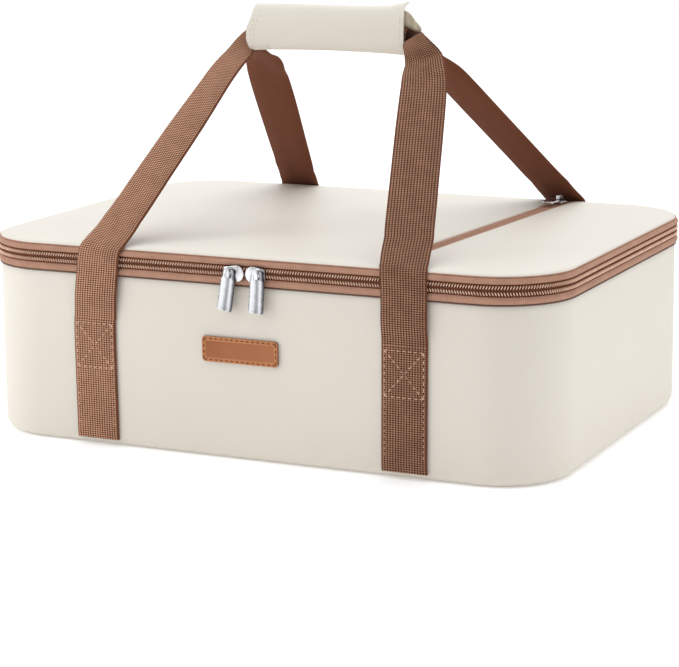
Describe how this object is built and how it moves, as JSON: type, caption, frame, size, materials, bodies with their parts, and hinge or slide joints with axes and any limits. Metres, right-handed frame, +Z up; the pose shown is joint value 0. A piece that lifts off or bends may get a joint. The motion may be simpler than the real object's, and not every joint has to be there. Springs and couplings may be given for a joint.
{
  "type": "insulated casserole carrier",
  "caption": "Insulated soft-sided casserole carrier with a zipped hinged lid, a zipped lid pocket, webbing handles and a handle wrap.",
  "frame": {"origin": "middle of the base, on the surface that the carrier stands on", "axes": "+Z up, +X along the length to the viewer's right, -Y out of the front wall with the label"},
  "size_m": [0.4232, 0.3154, 0.2905],
  "materials": {
    "cream_cloth": "smooth coated satin cloth",
    "webbing": "ribbed woven webbing",
    "zip_tape": "fine woven zip tape",
    "zip_coil": "satin coil",
    "tan_leather": "smooth tan leather",
    "silver_metal": "plated die casting",
    "foil": "metallised film",
    "foam": "closed-cell foam",
    "board": "stiff plastic board",
    "hook_and_loop": "hook and loop tape"
  },
  "bodies": {
    "body": {"side_wall": "cream_cloth", "base_panel": "cream_cloth", "base_board": "board", "base_foam": "foam", "wall_foam": "foam", "body_liner": "foil", "body_rim_binding": "cream_cloth", "zip_tape_lower": "zip_tape", "zip_coil_lower": "zip_coil", "zip_end_tab_left": "zip_tape", "zip_end_tab_right": "zip_tape", "lid_hinge_cloth": "cream_cloth", "front_strap_left": "webbing", "front_strap_right": "webbing", "back_strap_left": "webbing", "back_strap_right": "webbing", "label_patch": "tan_leather"},
    "lid": {"lid_main_panel": "cream_cloth", "lid_side_panel": "cream_cloth", "lid_foam": "foam", "lid_liner": "foil", "lid_rim_binding": "cream_cloth", "zip_tape_upper": "zip_tape", "zip_coil_upper": "zip_coil", "pocket_zip_tape_left": "zip_tape", "pocket_zip_tape_right": "zip_tape", "pocket_zip_coil_left": "zip_coil", "pocket_zip_coil_right": "zip_coil", "pocket_lining": "cream_cloth", "pocket_stop_front": "zip_tape", "pocket_stop_back": "zip_tape"},
    "front_loop": {"front_handle_webbing": "webbing", "handle_wrap": "cream_cloth", "wrap_loop_patch": "hook_and_loop"},
    "flap": {"wrap_flap": "cream_cloth", "wrap_hook_patch": "hook_and_loop"},
    "back_loop": {"back_handle_webbing": "webbing"},
    "slider_left": {"main_slider_left": "silver_metal"},
    "pull_left": {"main_pull_left": "silver_metal"},
    "slider_right": {"main_slider_right": "silver_metal"},
    "pull_right": {"main_pull_right": "silver_metal"},
    "pocket_runner": {"pocket_slider": "silver_metal"},
    "pocket_tab": {"pocket_pull": "silver_metal"}
  },
  "joints": [
    {"name": "lid_hinge", "type": "hinge", "parent": "body", "child": "lid", "pos_m": [0, 0.154, 0.1266], "axis": [-1, 0, 0], "range_deg": [0, 90], "deforming": ["lid_hinge_cloth"]},
    {"name": "front_loop_swing", "type": "hinge", "parent": "body", "child": "front_loop", "pos_m": [0, -0.1532, 0.0861], "axis": [1, 0, 0], "range_deg": [0, 135], "deforming": ["front_handle_webbing"]},
    {"name": "back_loop_swing", "type": "hinge", "parent": "body", "child": "back_loop", "pos_m": [0, 0.1532, 0.0861], "axis": [-1, 0, 0], "range_deg": [0, 135], "deforming": ["back_handle_webbing"]},
    {"name": "wrap_flap_open", "type": "hinge", "parent": "front_loop", "child": "flap", "pos_m": [0, -0.01485, 0.2908], "axis": [1, 0, 0], "range_deg": [0, 120]},
    {"name": "slider_left_run", "type": "slide", "parent": "body", "child": "slider_left", "axis": [-1, 0, 0], "range_m": [0, 0.075]},
    {"name": "pull_left_swing", "type": "hinge", "parent": "slider_left", "child": "pull_left", "pos_m": [-0.0087, -0.15685, 0.1276], "axis": [-1, 0, 0], "range_deg": [0, 150]},
    {"name": "slider_right_run", "type": "slide", "parent": "body", "child": "slider_right", "axis": [1, 0, 0], "range_m": [0, 0.075]},
    {"name": "pull_right_swing", "type": "hinge", "parent": "slider_right", "child": "pull_right", "pos_m": [0.012, -0.15685, 0.1276], "axis": [-1, 0, 0], "range_deg": [0, 150]},
    {"name": "pocket_slider_run", "type": "slide", "parent": "lid", "child": "pocket_runner", "axis": [-0.0645, -0.9979, 0], "range_m": [0, 0.245]},
    {"name": "pocket_pull_swing", "type": "hinge", "parent": "pocket_runner", "child": "pocket_tab", "pos_m": [0.11365, 0.13372, 0.14165], "axis": [-0.9979, 0.0645, 0], "range_deg": [0, 45]}
  ],
  "couplings": [
    {"joint": "front_loop_swing", "follows": "lid_hinge", "ratio": 1.5},
    {"joint": "back_loop_swing", "follows": "lid_hinge", "ratio": 1.5},
    {"joint": "wrap_flap_open", "follows": "lid_hinge", "ratio": 1.3333}
  ]
}
